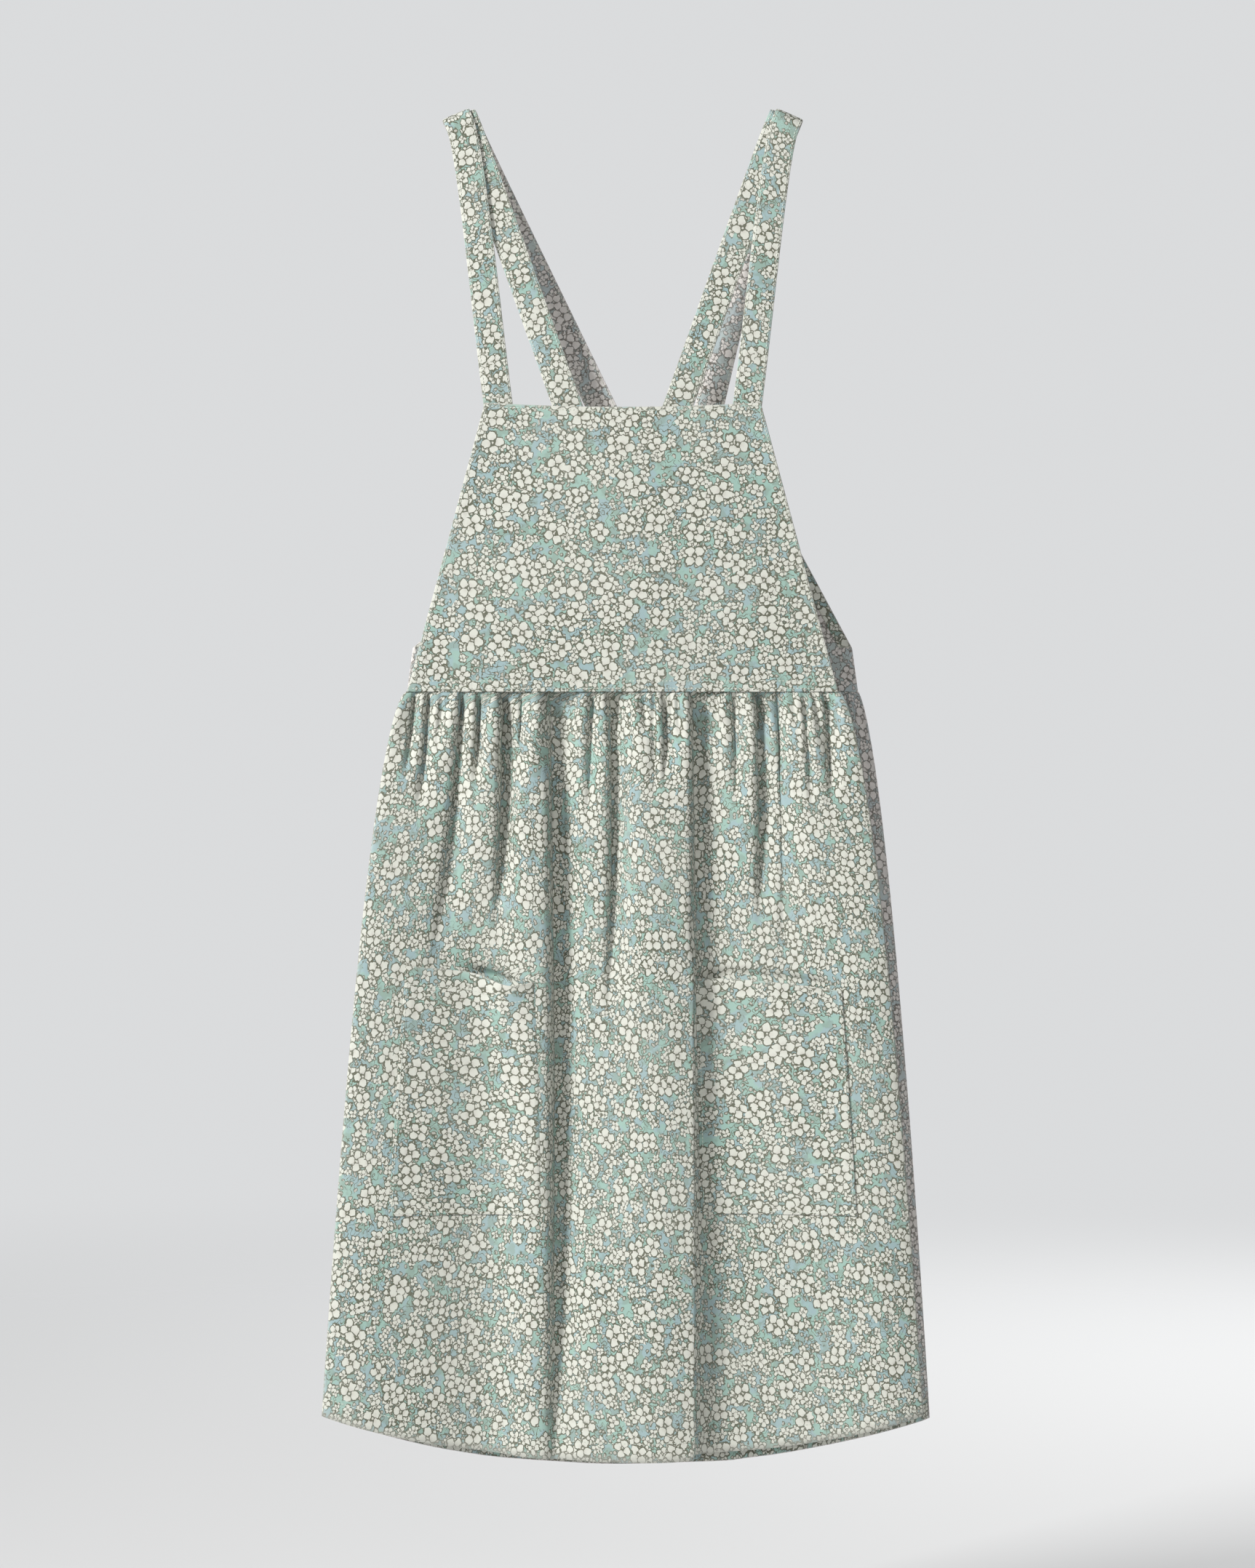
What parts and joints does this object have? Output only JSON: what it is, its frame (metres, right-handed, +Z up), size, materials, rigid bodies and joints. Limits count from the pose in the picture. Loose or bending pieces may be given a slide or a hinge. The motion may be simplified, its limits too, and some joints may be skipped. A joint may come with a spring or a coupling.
{
  "type": "artist smock apron",
  "caption": "Pinafore smock apron of printed cotton: bib and back panel on crossed shoulder straps, gathered open-sided skirts and patch pockets, hanging as on a hanger.",
  "frame": {"origin": "midway between the two strap folds, on the line where they sit on a hanger's arms", "axes": "+Z up, -Y out of the front of the apron, +X towards the right of someone who looks at its front"},
  "size_m": [0.4979, 0.0552, 1.1162],
  "materials": {
    "print_cotton": "matte",
    "print_cotton_inside": "matte",
    "sewing_thread": "satin"
  },
  "bodies": {
    "bodice": {"bib_front": "print_cotton", "bib_top_facing": "print_cotton_inside", "bib_armhole_facing_left": "print_cotton_inside", "bib_armhole_facing_right": "print_cotton_inside", "bib_top_stitching": "sewing_thread", "waist_stitching_upper": "sewing_thread", "waist_stitching_lower": "sewing_thread", "front_waist_tape": "print_cotton_inside", "back_bodice": "print_cotton", "back_top_facing": "print_cotton_inside", "back_armhole_facing_left": "print_cotton_inside", "back_armhole_facing_right": "print_cotton_inside", "back_waist_tape": "print_cotton_inside", "side_seam_left": "print_cotton", "side_seam_right": "print_cotton", "outer_strap_left": "print_cotton", "outer_strap_right": "print_cotton", "cross_strap_left": "print_cotton", "cross_strap_right": "print_cotton"},
    "front_skirt": {"skirt_front": "print_cotton", "hem_facing_front": "print_cotton_inside", "pocket_left": "print_cotton", "pocket_right": "print_cotton", "pocket_mouth_facing_left": "print_cotton_inside", "pocket_mouth_facing_right": "print_cotton_inside"},
    "back_skirt": {"skirt_back": "print_cotton", "hem_facing_back": "print_cotton_inside"}
  },
  "joints": [
    {"name": "front_skirt_swing", "type": "hinge", "parent": "bodice", "child": "front_skirt", "pos_m": [0, -0.0194, -0.4743], "axis": [-1, 0, 0], "range_deg": [0, 45]},
    {"name": "back_skirt_swing", "type": "hinge", "parent": "bodice", "child": "back_skirt", "pos_m": [0, 0.0194, -0.4743], "axis": [1, 0, 0], "range_deg": [0, 45]}
  ]
}
